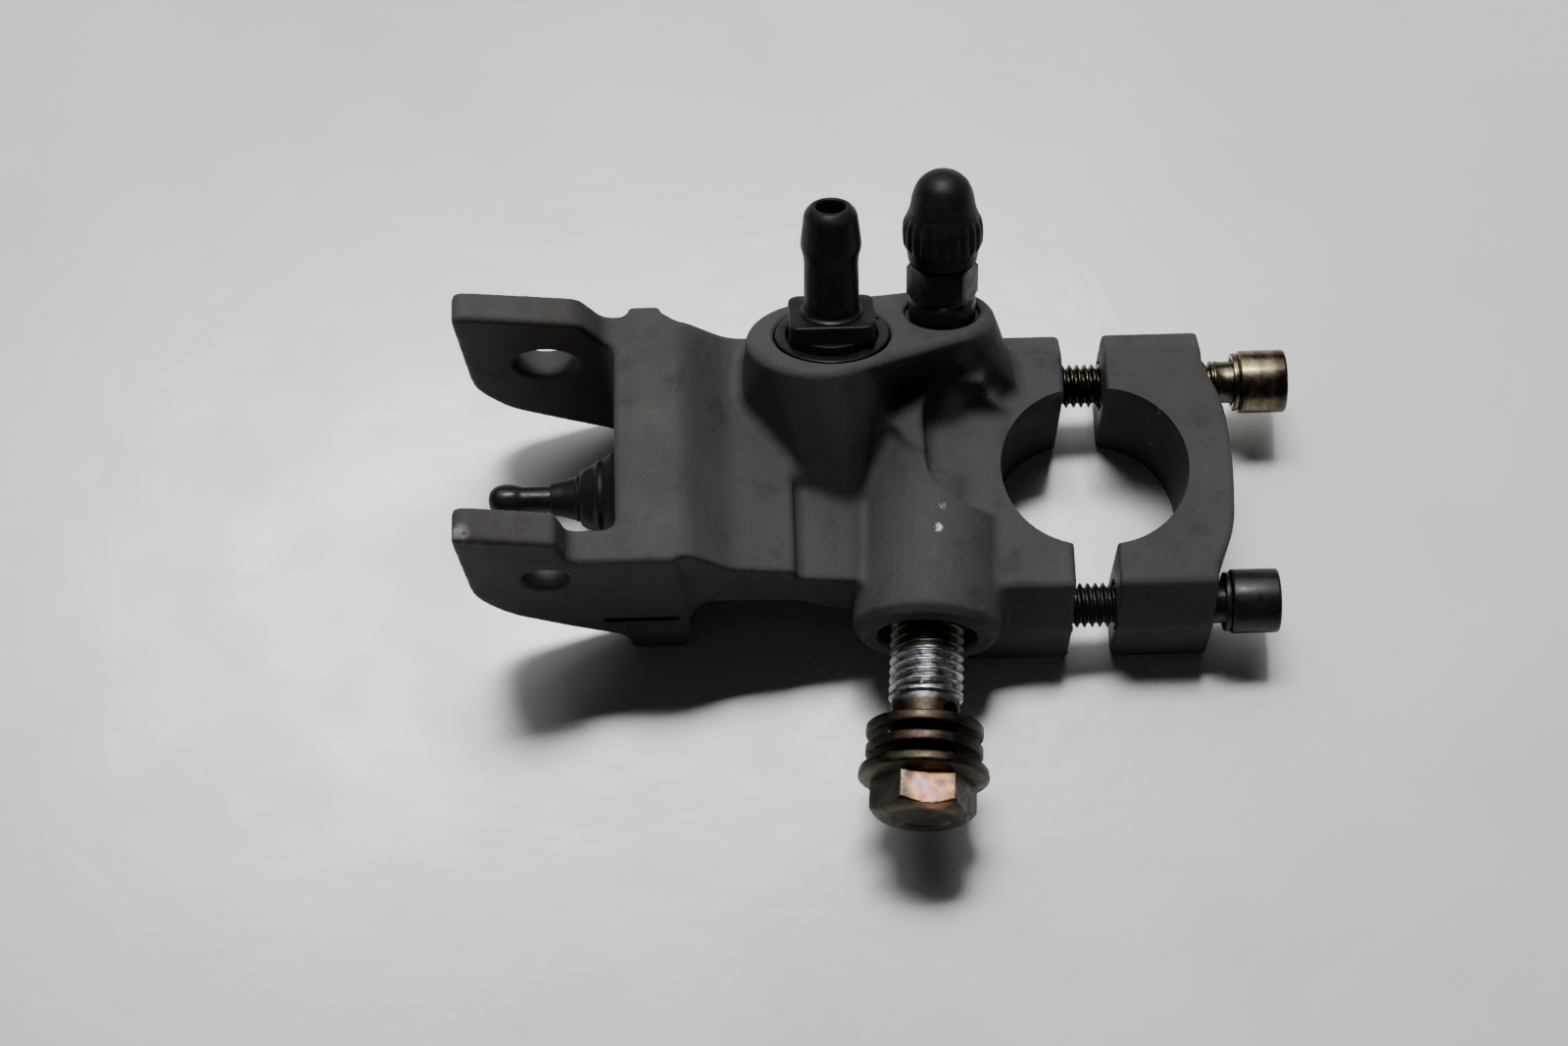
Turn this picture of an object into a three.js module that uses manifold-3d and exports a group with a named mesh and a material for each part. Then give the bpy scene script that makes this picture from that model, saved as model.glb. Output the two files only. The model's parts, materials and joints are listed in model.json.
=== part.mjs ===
// Radial brake master cylinder for a motorcycle handlebar, with its bar clamp, lever yoke,
// reservoir connector, bleeder and outlet bolt. Millimetres, +Z up.
//
// Design frame: the handlebar's centre line is the Z axis, and the clamp's lower face is z = 0.
// +X points from the lever yoke to the clamp, and the lever pivot is parallel to Y.
// At the end the whole group is shifted so that the origin is under the middle of the object.
import * as THREE from 'three';
import { mergeVertices } from 'three/addons/utils/BufferGeometryUtils.js';
import { ConvexGeometry } from 'three/addons/geometries/ConvexGeometry.js';
import Module from 'manifold-3d';

const wasm = await Module();
wasm.setup();

// ---- driving dimensions -------------------------------------------------------------------
const BAR_RADIUS = 11.1;
const CLAMP_HEIGHT = 19.2;
const SPLIT_X = -2.1;               // body half's split face
const BOLT_Y = 15.9;                // clamp bolts, each side of the bar
const BOLT_Z = CLAMP_HEIGHT / 2;

const BARREL_Y = 1;                 // piston axis
const BARREL_Z = 10.4;
const BARREL_RADIUS = 10.3;
const BARREL_END = -14.5;
const BORE_RADIUS = 8;
const BORE_END = -16;
const WALL_X = -61.3;               // face that the pushrod comes out of

const EAR_IN = 13.2;                // upper lever ear's faces, from the piston axis
const EAR_OUT = 17.3;
const LOWER_EAR_IN = 12.6;          // the lower ear is a little thicker
const PIVOT_X = -70.3;
const PIVOT_Z = 24.4;
const DECK_HALF = 16.6;             // half width of the deck over the barrel
const DECK_TOP = 30;                // deck height at the yoke

const OUTLET_X = -20.3;             // outlet boss, a cylinder that leans OUTLET_LEAN off -Y
const OUTLET_Y = -4.5;
const OUTLET_Z = 14;
const OUTLET_LEAN = THREE.MathUtils.degToRad(4);
const OUTLET_RADIUS = 9.8;
const OUTLET_END = 17.1;            // end face, from (OUTLET_X, OUTLET_Y) along the boss

const PORT_TILT = THREE.MathUtils.degToRad(55);   // top fittings lean from +Y up to +Z
const PORT_FACE = 24.5;             // height of their common face above the piston axis
const HOSE_X = -32.9;
const HOSE_SIDE = 0.6;              // offset across the tilted axis, towards +Z
const BLEED_X = -18.3;
const BLEED_SIDE = -4.6;

const CAP_SHIFT = 2.55;             // the loose clamp cap stands this far off the bar
const CAP_SPLIT = 1.0;              // cap's split face, from the cap's own bore centre
const CAP_SEAT = 13.9;
const CAP_BULGE = 16.8;

const FINE = 40;                    // segments on large rounds
const MEDIUM = 24;
const SMALL = 16;

// ---- colours ------------------------------------------------------------------------------
const FINISH = {
  castGrey: [0x5a595b, 0.55, 0.3],
  capGrey: [0x5f5a58, 0.6, 0.3],
  blackPlastic: [0x161617, 0.5, 0.0],
  blackRubber: [0x121212, 0.75, 0.0],
  blackSteel: [0x1d1d1f, 0.35, 0.8],
  yellowZinc: [0x9a9170, 0.35, 0.85],
  oliveZinc: [0x5e5442, 0.4, 0.8],
  spring: [0x8c8f93, 0.3, 0.9],
  anodised: [0x6f7378, 0.35, 0.8],
  copper: [0x6b4d3a, 0.4, 0.85],
};

// ---- solids -------------------------------------------------------------------------------
function solid(geometry) {
  const plain = (geometry.index ? geometry.toNonIndexed() : geometry).clone();
  plain.deleteAttribute('normal');
  plain.deleteAttribute('uv');
  const merged = mergeVertices(plain, 1e-4);
  return new wasm.Manifold(new wasm.Mesh({
    numProp: 3,
    vertProperties: new Float32Array(merged.attributes.position.array),
    triVerts: new Uint32Array(merged.index.array),
  }));
}

function geometryOf(shape) {
  const mesh = shape.getMesh();
  const geometry = new THREE.BufferGeometry();
  geometry.setAttribute('position', new THREE.BufferAttribute(new Float32Array(mesh.vertProperties), 3));
  geometry.setIndex(new THREE.BufferAttribute(new Uint32Array(mesh.triVerts), 1));
  return geometry;
}

const join = (...shapes) => shapes.reduce((whole, next) => whole.add(next));
const cut = (shape, ...tools) => tools.reduce((left, tool) => left.subtract(tool), shape);
const vector = (x, y, z) => new THREE.Vector3(x, y, z);

// A matrix that puts local +Z along an axis that starts at a point.
function along(start, direction, turn = 0) {
  const spin = new THREE.Quaternion().setFromAxisAngle(vector(0, 0, 1), turn);
  const aim = new THREE.Quaternion().setFromUnitVectors(vector(0, 0, 1), direction.clone().normalize());
  return new THREE.Matrix4().compose(start, aim.multiply(spin), vector(1, 1, 1));
}

function block(low, high) {
  const size = high.map((value, i) => value - low[i]);
  const middle = high.map((value, i) => (value + low[i]) / 2);
  return solid(new THREE.BoxGeometry(...size).translate(...middle));
}

// A turned solid. The profile is [distance along the axis, radius], from the axis to the axis.
function turnedGeometry(profile, start, direction, segments) {
  const points = profile.map(([distance, radius]) => new THREE.Vector2(radius, distance));
  const lathe = new THREE.LatheGeometry(points, segments).rotateX(Math.PI / 2);
  return lathe.applyMatrix4(along(start, direction));
}

const turned = (profile, start, direction, segments = MEDIUM) =>
  solid(turnedGeometry(profile, start, direction, segments));

// A plain round bar or hole between two distances along an axis.
const round = (radius, from, to, start, direction, segments = MEDIUM) =>
  turned([[from, 0], [from, radius], [to, radius], [to, 0]], start, direction, segments);

// An outline with a rounded corner at each [u, v, radius].
function roundedShape(corners) {
  const shape = new THREE.Shape();
  corners.forEach(([u, v, radius], i) => {
    const here = new THREE.Vector2(u, v);
    const [pu, pv] = corners[(i + corners.length - 1) % corners.length];
    const [nu, nv] = corners[(i + 1) % corners.length];
    const before = new THREE.Vector2(pu, pv).sub(here).setLength(radius).add(here);
    const after = new THREE.Vector2(nu, nv).sub(here).setLength(radius).add(here);
    if (i === 0) shape.moveTo(before.x, before.y);
    else shape.lineTo(before.x, before.y);
    if (radius > 0) shape.quadraticCurveTo(here.x, here.y, after.x, after.y);
  });
  shape.closePath();
  return shape;
}

// Plates whose outline is drawn in X and Z (across Y), Y and Z (across X), or X and Y (across Z).
function plateAcrossY(shape, low, high) {
  const plate = new THREE.ExtrudeGeometry(shape, { depth: high - low, bevelEnabled: false, curveSegments: 4 });
  return solid(plate.rotateX(Math.PI / 2).translate(0, high, 0));
}

function plateAcrossX(shape, low, high) {
  const plate = new THREE.ExtrudeGeometry(shape, { depth: high - low, bevelEnabled: false, curveSegments: 4 });
  return solid(plate.rotateX(Math.PI / 2).rotateZ(Math.PI / 2).translate(low, 0, 0));
}

function plateAcrossZ(shape, low, high, curveSegments = 6) {
  const plate = new THREE.ExtrudeGeometry(shape, { depth: high - low, bevelEnabled: false, curveSegments });
  return solid(plate.translate(0, 0, low));
}

const assembly = new THREE.Group();

function addPart(name, shape, [color, roughness, metalness]) {
  const geometry = shape.isBufferGeometry ? shape : geometryOf(shape);
  const mesh = new THREE.Mesh(geometry, new THREE.MeshStandardMaterial({ color, roughness, metalness }));
  mesh.name = name;
  assembly.add(mesh);
}

// ---- axes ---------------------------------------------------------------------------------
const PLUS_X = vector(1, 0, 0);
const PLUS_Z = vector(0, 0, 1);
const pistonStart = vector(0, BARREL_Y, BARREL_Z);       // distance along it is the design frame's x
const outletStart = vector(OUTLET_X, OUTLET_Y, OUTLET_Z);
const outletAxis = vector(-Math.sin(OUTLET_LEAN), -Math.cos(OUTLET_LEAN), 0);
const portAxis = vector(0, Math.cos(PORT_TILT), Math.sin(PORT_TILT));
const portSide = vector(0, -Math.sin(PORT_TILT), Math.cos(PORT_TILT));

// A point beside the piston axis, on the axis of a fitting that leans with the ports.
const portStart = (x, side) => vector(x, BARREL_Y, BARREL_Z).addScaledVector(portSide, side);
const hoseStart = portStart(HOSE_X, HOSE_SIDE);
const bleedStart = portStart(BLEED_X, BLEED_SIDE);

// ---- body casting -------------------------------------------------------------------------
// Outline of a lever ear. The shoulder is where its top edge drops to the deck.
function earOutline(shoulder, run, tipX, tipZ, heelZ, footZ) {
  return roundedShape([
    [-54, 8, 0],
    [-54, DECK_TOP, 0],
    [shoulder, DECK_TOP, run * 0.4],
    [shoulder - run, tipZ - 2.9, run * 0.5],
    [tipX, tipZ, 2.4],
    [tipX + 1.4, heelZ, 3],
    [tipX + 5.6, heelZ - 6, 2.5],
    [-68, footZ + 3.6, 2],
    [WALL_X, footZ, 0],
  ]);
}

// Deck over the barrel: high at the yoke, then a slope down, a groove, and a lower strip.
function deckOutline() {
  return roundedShape([
    [WALL_X, 8, 0],
    [WALL_X, DECK_TOP, 0.8],
    [-52.2, DECK_TOP, 1.5],
    [-46.6, 24.6, 1.5],
    [-38.6, 23.2, 0.5],
    [-38, 20.2, 0.3],
    [-37.3, 20.8, 0.3],
    [-30.8, 19.8, 0.6],
    [-25, 17, 0],
    [-25, 10, 0],
    [-33, 9.4, 2],
    [-38, 13.2, 2],
    [-50.4, 13.6, 2],
    [-52.2, 9, 1],
  ]);
}

// Boss under the two top fittings: a pear-shaped plate on two columns. The hose column keeps the
// plate's width at first, then narrows to a keel along the deck. The bleeder column flares out to
// the clamp. Points are [x, side, height] in the fittings' frame.
const hull = (...rings) => solid(new ConvexGeometry(rings.flat()));

function portBoss() {
  const point = ([x, side, height]) => portStart(x, side).addScaledVector(portAxis, height);
  const ring = (x, side, height, radius, sideRadius = radius, count = MEDIUM) => {
    const centre = point([x, side, height]);
    return Array.from({ length: count }, (_, i) => {
      const angle = (i / count) * 2 * Math.PI;
      const across = vector(Math.cos(angle) * radius, 0, 0);
      return centre.clone().add(across).addScaledVector(portSide, Math.sin(angle) * sideRadius);
    });
  };
  const lip = 0.8;
  const plateBottom = PORT_FACE - 6;
  const hoseFace = ring(-34.5, 0.7, PORT_FACE, 9.6 - lip, 9.6 - lip, FINE);
  const hoseLip = ring(-34.5, 0.7, PORT_FACE - lip, 9.6, 9.6, FINE);
  const hoseFoot = [
    [-44.7, -3, 15], [-44.7, 2.3, 15], [-41.6, 4.4, 13.2], [-37.7, 7.1, 10.6], [-36.6, 9.2, 6.2],
    [-31.4, 10.2, 4.4], [-29.6, 9, 4.4], [-36, 0, 5], [-30, 0, 5],
  ].map(point);
  const bleedFace = ring(BLEED_X, BLEED_SIDE, PORT_FACE, 6.9 - lip);
  const bleedLip = ring(BLEED_X, BLEED_SIDE, PORT_FACE - lip, 6.9);
  const bleedFoot = ring(-19, -5, 6, 5.4, 5.2);
  const flare = [vector(-8.3, 11, 19.4), vector(-9.4, 17.4, 19.4), vector(-9, 14, 16)];
  const plateFoot = [ring(-33.5, 0.4, plateBottom, 6.5), ring(BLEED_X, BLEED_SIDE, plateBottom, 5.4)];
  const plate = hull(hoseFace, hoseLip, bleedFace, bleedLip, ...plateFoot);
  return join(plate, hull(hoseFace, hoseLip, hoseFoot), hull(bleedFace, bleedLip, bleedFoot, flare));
}

// End view of the clamp: long chamfers on its upper edges.
function clampEnd() {
  return roundedShape([
    [-19.7, 0, 0.8],
    [20.4, 0, 0.8],
    [20.4, 16.4, 0.8],
    [16.6, CLAMP_HEIGHT, 0.8],
    [-16.8, CLAMP_HEIGHT, 0.8],
    [-19.7, 10.2, 0.6],
  ]);
}

function clampHalf() {
  const arms = plateAcrossX(clampEnd(), -15.5, SPLIT_X);
  const web = block([-25, -17, 0.4], [-14, 12, CLAMP_HEIGHT - 0.6]);
  return join(arms, web);
}

function outletBoss() {
  const flare = 1.2;
  return turned([
    [-16.5, 0],
    [-16.5, 7],
    [-15.2, 9.9],
    [-13.6, 10.9],
    [-8, 10.1],
    [-2, OUTLET_RADIUS],
    [OUTLET_END - flare, OUTLET_RADIUS],
    [OUTLET_END, OUTLET_RADIUS - flare],
    [OUTLET_END, 0],
  ], outletStart, outletAxis, FINE);
}

function bodyBlank() {
  const barrel = round(BARREL_RADIUS, WALL_X, BARREL_END, pistonStart, PLUS_X, FINE);
  const deck = plateAcrossY(deckOutline(), BARREL_Y - DECK_HALF, BARREL_Y + DECK_HALF);
  const lower = BARREL_Y - EAR_OUT;
  const upper = BARREL_Y + EAR_OUT;
  const cheeks = plateAcrossY(roundedShape([
    [WALL_X, 3.8, 0],
    [WALL_X, DECK_TOP, 0.8],
    [-54, DECK_TOP, 1],
    [-52.2, 9, 1],
    [-52.2, 3, 1],
  ]), lower, upper);
  const lowerEar = plateAcrossY(earOutline(-67.2, 1.4, -81.5, 39, 18.4, 3.8), lower, BARREL_Y - LOWER_EAR_IN);
  const upperEar = plateAcrossY(earOutline(-62.4, 3, -81.8, 38.6, 16.6, 2.2), BARREL_Y + EAR_IN, upper);
  const shoulder = block([-68.2, lower, 12], [WALL_X + 1, BARREL_Y - LOWER_EAR_IN, DECK_TOP]);
  const switchPad = block([-60.4, lower - 0.5, 0.5], [-52.8, -9, 7.4]);
  const topLug = block([-59.2, upper - 1, 20], [-55.2, upper + 1.5, DECK_TOP - 0.3]);
  return join(
    barrel, deck, cheeks, lowerEar, upperEar, shoulder, switchPad, topLug, outletBoss(), clampHalf(), portBoss(),
    reliefCollar(),
  );
}

// Flat relief beside the bar, in the upper side of the outlet boss. A round collar stands behind it,
// and the relief leaves a narrow ledge of the collar all round its back.
const LEDGE = 25;
const COLLAR = vector(-18.9, 6.9, 0);

// Points round an upright oval. Its top can rise towards +Y.
function oval(z, across, back, shift = 0, rise = 0) {
  return Array.from({ length: FINE }, (_, i) => {
    const angle = (i / FINE) * 2 * Math.PI;
    const away = Math.sin(angle) * back;
    return vector(COLLAR.x + shift + Math.cos(angle) * across, COLLAR.y + away, z + away * rise);
  });
}

const reliefCollar = () => hull(oval(15.5, 7.2, 7.2), oval(LEDGE - 0.6, 6.6, 6.6, 0, 0.09));

function barRelief() {
  const floor = CLAMP_HEIGHT + 0.1;
  const roof = 31.2;
  const level = (z, corners) => roundedShape(corners).getPoints(3).map((p) => vector(p.x, p.y, z));
  const bottom = level(floor, [
    [-21.1, 6, 2], [-18.6, 8, 1.5], [-12.6, 7.8, 1.5], [-6, 7.4, 0.5],
    [-6, -7, 0.5], [-12.6, -7, 2], [-17.4, -5.8, 2], [-20.8, -2.4, 2],
  ]);
  const middle = level(LEDGE, [
    [-21.4, 7.8, 2], [-19.6, 10.3, 1.5], [-14.8, 10.3, 1.5], [-6, 8.8, 0.5],
    [-6, -7, 0.5], [-12.6, -7, 2], [-17.4, -5.8, 2], [-21, -2.4, 2],
  ]);
  const lift = (points) => points.map((point) => vector(point.x, point.y, roof));
  return join(hull(bottom, middle), hull(middle, lift(middle)), hull(oval(LEDGE, 6.6, 4.6), oval(roof, 6.4, 4.9, -1.6)));
}

function bodyHoles() {
  const bar = round(BAR_RADIUS, -1, CLAMP_HEIGHT + 8, vector(0, 0, 0), PLUS_Z, 56);
  const mouth = turned([
    [WALL_X - 1, 0], [WALL_X - 1, 9], [-57.8, 9], [-57.8, BORE_RADIUS],
    [-56.8, BORE_RADIUS], [-56.8, 8.9], [-55.4, 8.9], [-55.4, BORE_RADIUS],
    [BORE_END, BORE_RADIUS], [BORE_END, 0],
  ], pistonStart, PLUS_X, FINE);
  const outlet = turned([
    [-3, 0], [-3, 1.5], [5.4, 1.5], [6.6, 5.2], [OUTLET_END - 3.4, 5.2],
    [OUTLET_END - 2.4, 6.4], [OUTLET_END + 1, 6.4], [OUTLET_END + 1, 0],
  ], outletStart, outletAxis);
  const hosePort = turned([
    [6.5, 0], [6.5, 1.5], [17, 1.5], [17, 5.3], [22.3, 5.3], [22.3, 7.7], [PORT_FACE + 1, 7.7], [PORT_FACE + 1, 0],
  ], hoseStart, portAxis);
  const bleedPort = turned([
    [1, 0], [1, 1.2], [14, 1.2], [16, 3.6], [PORT_FACE - 1.5, 3.6],
    [PORT_FACE - 0.9, 5], [PORT_FACE + 1, 5], [PORT_FACE + 1, 0],
  ], bleedStart, portAxis);
  const tapped = [-BOLT_Y, BOLT_Y].map((y) => turned([
    [-14.4, 0], [-13.5, 3.2], [SPLIT_X + 1, 3.2], [SPLIT_X + 1, 0],
  ], vector(0, y, BOLT_Z), PLUS_X, SMALL));
  const pivot = vector(PIVOT_X, BARREL_Y, PIVOT_Z);
  const upperEarHole = round(3.95, EAR_IN - 1, EAR_OUT + 1, pivot, vector(0, 1, 0));
  const lowerEarHole = round(3.1, LOWER_EAR_IN - 1, EAR_OUT + 1, pivot, vector(0, -1, 0), SMALL);
  const slotY = BARREL_Y - EAR_OUT;
  const padSlot = block([-64, slotY - 1, 8.6], [-53.2, slotY + 1, 10.4]);
  return [bar, mouth, outlet, hosePort, bleedPort, ...tapped, upperEarHole, lowerEarHole, padSlot, barRelief()];
}

addPart('master_body', cut(bodyBlank(), ...bodyHoles()), FINISH.castGrey);

// ---- clamp cap and bolts ------------------------------------------------------------------
function clampCap() {
  const blank = plateAcrossX(clampEnd(), CAP_SPLIT, CAP_BULGE + 1);
  const plan = roundedShape([
    [CAP_SPLIT, -24, 0],
    [CAP_SEAT, -24, 0],
    [CAP_SEAT, -14.6, 0.6],
    [CAP_BULGE - 0.4, -9.6, 3],
    [CAP_BULGE + 0.2, 0, 4],
    [CAP_BULGE - 0.4, 8.6, 3],
    [CAP_SEAT, 14.6, 0.6],
    [CAP_SEAT, 24, 0],
    [CAP_SPLIT, 24, 0],
  ]);
  const outline = plateAcrossZ(plan, -1, CLAMP_HEIGHT + 1);
  const bar = round(BAR_RADIUS, -2, CLAMP_HEIGHT + 2, vector(0, 0, 0), PLUS_Z, 64);
  const bolts = [-BOLT_Y, BOLT_Y].map((y) => turned([
    [0, 0], [0, 3.4], [CAP_SEAT, 3.4], [CAP_SEAT, 4.7], [20, 4.7], [20, 0],
  ], vector(0, y, BOLT_Z), PLUS_X));
  return cut(blank.intersect(outline), bar, ...bolts).translate(CAP_SHIFT, 0, 0);
}

addPart('clamp_cap', clampCap(), FINISH.capGrey);

const BOLT_HEAD = 6.4;
const BOLT_LENGTH = 28;
const BOLT_RADIUS = 2.95;
const WASHER = 0.8;

function socketBolt(start) {
  const blank = turned([
    [-BOLT_LENGTH, 0], [-BOLT_LENGTH, 2.3], [-BOLT_LENGTH + 0.7, BOLT_RADIUS],
    [0, BOLT_RADIUS], [0, 4.2], [BOLT_HEAD - 0.5, 4.25], [BOLT_HEAD, 3.8], [BOLT_HEAD, 0],
  ], start, PLUS_X, SMALL);
  const socket = round(2.5 / Math.cos(Math.PI / 6), BOLT_HEAD - 3, BOLT_HEAD + 1, start, PLUS_X, 6);
  return cut(blank, socket);
}

const flatWasher = (inner, outer, from, to, start, direction, segments = MEDIUM) =>
  turnedGeometry([[from, inner], [from, outer], [to, outer], [to, inner], [from, inner]], start, direction, segments);

// Both bolts are backed off, the upper one further. headX is the underside of the head.
const CLAMP_BOLTS = [
  { side: 'upper', y: BOLT_Y, headX: 22.3, finish: FINISH.yellowZinc },
  { side: 'lower', y: -BOLT_Y, headX: 18.8, finish: FINISH.blackSteel },
];

for (const { side, y, headX, finish } of CLAMP_BOLTS) {
  const start = vector(headX, y, BOLT_Z);
  addPart(`clamp_bolt_${side}`, socketBolt(start), finish);
  addPart(`bolt_washer_${side}`, flatWasher(3.2, 3.9, -WASHER - 0.05, -0.05, start, PLUS_X, SMALL), finish);
}

// ---- outlet bolt and its sealing washers --------------------------------------------------
const FLANGE = 35;                // outlet bolt's flange, along the outlet axis
const BANJO_LENGTH = 22;
const BANJO_RADIUS = 4.85;
const HEX_TURN = THREE.MathUtils.degToRad(22);

function banjoBolt() {
  const blank = turned([
    [FLANGE - BANJO_LENGTH, 0], [FLANGE - BANJO_LENGTH, 4.1], [FLANGE - BANJO_LENGTH + 0.8, BANJO_RADIUS],
    [FLANGE - 9.2, BANJO_RADIUS], [FLANGE - 8.8, 4.5], [FLANGE, 4.5],
    [FLANGE, 7.9], [FLANGE + 0.4, 8.5], [FLANGE + 1.4, 8.5], [FLANGE + 2.2, 6.8], [FLANGE + 2.2, 0],
  ], outletStart, outletAxis);
  const hexRadius = 6 / Math.cos(Math.PI / 6);
  const hex = solid(new THREE.CylinderGeometry(hexRadius, hexRadius, 4.8, 6).rotateX(Math.PI / 2)
    .rotateZ(HEX_TURN).translate(0, 0, FLANGE + 4.3).applyMatrix4(along(outletStart, outletAxis)));
  const chamfer = turned([
    [FLANGE, 0], [FLANGE, 9], [FLANGE + 5.4, 9], [FLANGE + 6.7, 5.6], [FLANGE + 6.7, 0],
  ], outletStart, outletAxis);
  const oilHole = round(1.6, FLANGE - BANJO_LENGTH - 1, FLANGE - 4, outletStart, outletAxis, SMALL);
  const crossStart = outletStart.clone().addScaledVector(outletAxis, FLANGE - 6.5);
  const crossHole = round(1.5, -6, 6, crossStart, vector(0.75, 0, 0.66), SMALL);
  return cut(join(blank, hex.intersect(chamfer)), oilHole, crossHole);
}

addPart('banjo_bolt', banjoBolt(), FINISH.oliveZinc);
addPart('crush_washer_inner', flatWasher(5, 7.6, 29.4, 30.9, outletStart, outletAxis), FINISH.copper);
addPart('crush_washer_outer', flatWasher(5, 7.6, 32.1, 33.6, outletStart, outletAxis), FINISH.copper);

// ---- reservoir hose connector -------------------------------------------------------------
function hoseConnector() {
  const stem = turned([
    [17.4, 0], [17.4, 4.6], [18.8, 4.9], [18.8, 3.9], [20.6, 3.9], [20.6, 4.9], [22.6, 4.9],
    [22.6, 6.9], [23.3, 6.9], [23.3, 5.3], [25.4, 5.3], [25.4, 3.6], [35, 3.5], [36.2, 3.7],
    [37.4, 3.9], [38, 3.9], [42, 3.45], [42.9, 2.9], [42.9, 0],
  ], hoseStart, portAxis);
  const plate = roundedShape([[-5.6, -4.4, 1.6], [5.6, -4.4, 1.6], [5.6, 4.4, 1.6], [-5.6, 4.4, 1.6]]);
  const flange = new THREE.ExtrudeGeometry(plate, { depth: 3, bevelEnabled: false, curveSegments: 3 });
  const seat = along(hoseStart.clone().addScaledVector(portAxis, 24.8), portAxis);
  const bore = round(1.9, 16, 44, hoseStart, portAxis, SMALL);
  return cut(join(stem, solid(flange.applyMatrix4(seat))), bore);
}

// A retaining ring: an open ring with an eyed lug at each end of its gap.
function retainingRing(inner, outer, from, to, start, direction, gap, turn, lug = 0) {
  const shape = new THREE.Shape();
  shape.absarc(0, 0, outer, gap / 2, 2 * Math.PI - gap / 2, false);
  shape.absarc(0, 0, inner, 2 * Math.PI - gap / 2, gap / 2, true);
  shape.closePath();
  const options = { depth: to - from, bevelEnabled: false, curveSegments: 20 };
  const ring = solid(new THREE.ExtrudeGeometry(shape, options).translate(0, 0, from));
  const lugs = [-1, 1].map((end) => {
    const angle = end * (gap / 2 + 0.1);
    const middle = lug < 0 ? inner - 0.2 : (inner + outer) / 2;
    const post = new THREE.CylinderGeometry(Math.abs(lug), Math.abs(lug), to - from, 12).rotateX(Math.PI / 2);
    return solid(post.translate(Math.cos(angle) * middle, Math.sin(angle) * middle, (from + to) / 2));
  });
  const whole = lug === 0 ? ring : join(ring, ...lugs);
  return geometryOf(whole).applyMatrix4(along(start, direction, turn));
}

addPart('hose_connector', hoseConnector(), FINISH.blackPlastic);
addPart('connector_circlip',
  retainingRing(6, 7.4, 23.6, 24.5, hoseStart, portAxis, 0.55, 0.75, 0.8), FINISH.blackSteel);
const sealStart = hoseStart.clone().addScaledVector(portAxis, 19.7);
addPart('connector_seal',
  new THREE.TorusGeometry(4.62, 0.58, 8, MEDIUM).applyMatrix4(along(sealStart, portAxis)), FINISH.blackRubber);

// ---- bleeder ------------------------------------------------------------------------------
function bleedScrew() {
  const blank = turned([
    [14.6, 0], [14.6, 0.6], [16.6, 2.4], [17.2, 3.3], [PORT_FACE - 1.5, 3.3], [PORT_FACE - 1, 4.4],
    [26.6, 4.4], [26.6, 3.1], [34.8, 3.1], [35.2, 2.6], [36.4, 2.6], [37, 3.1], [37.6, 3.1], [39, 2.3], [39, 0],
  ], bleedStart, portAxis);
  const hexRadius = 4.05 / Math.cos(Math.PI / 6);
  const hex = solid(new THREE.CylinderGeometry(hexRadius, hexRadius, 5, 6).rotateX(Math.PI / 2)
    .translate(0, 0, 29.3).applyMatrix4(along(bleedStart, portAxis)));
  const bore = round(1, 22, 40, bleedStart, portAxis, 12);
  return cut(join(blank, hex), bore);
}

const bleedCap = () => turnedGeometry([
  [32.2, 3.4], [32.2, 4.5], [34, 4.75], [34.8, 5.15], [37.6, 5.2], [38.6, 4.7], [39.6, 4.3],
  [42, 3.8], [43.5, 3], [44.5, 1.6], [44.8, 0], [40.6, 0], [40.2, 1.4], [39.4, 2.8], [38.4, 3.4], [32.2, 3.4],
], bleedStart, portAxis, MEDIUM);

addPart('bleed_screw', bleedScrew(), FINISH.blackSteel);
addPart('bleeder_cap', solid(bleedCap()), FINISH.blackRubber);

// ---- piston group -------------------------------------------------------------------------
const ROD_RADIUS = 1.8;
const SLIDE_RADIUS = BORE_RADIUS - 0.1;

addPart('pushrod', turned([
  [-78.8, 0], [-78.6, 1.1], [-77.8, 1.9], [-76.6, 2.15], [-75.4, 2.1], [-74.6, ROD_RADIUS],
  [-55, ROD_RADIUS], [-54.7, 3.4], [-53.7, 3.4], [-53.4, 2.4], [-51.6, 2.4], [-50.6, 1.7], [-50.2, 0],
], pistonStart, PLUS_X, SMALL), FINISH.blackSteel);

addPart('dust_boot', turned([
  [-70.6, 2.1], [-70.6, 2.35], [-69, 2.55], [-66.9, 3], [-66.6, 3.7], [-65.8, 4], [-64.6, 4.8], [-64, 5.3],
  [-62.4, 6.2], [-60.9, 6.9], [-60.9, 8.7], [-58.1, 8.7], [-58.1, 5.6], [-61, 5.3], [-64, 4.1], [-66, 2.9],
  [-68, 2.1], [-70.6, 2.1],
], pistonStart, PLUS_X, MEDIUM), FINISH.blackRubber);

addPart('rod_circlip',
  retainingRing(6.4, 8.6, -56.6, -55.6, pistonStart, PLUS_X, 0.7, 0, -1.2), FINISH.spring);
addPart('rod_washer', flatWasher(2.4, 7.7, -55.4, -55.1, pistonStart, PLUS_X), FINISH.spring);

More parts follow.
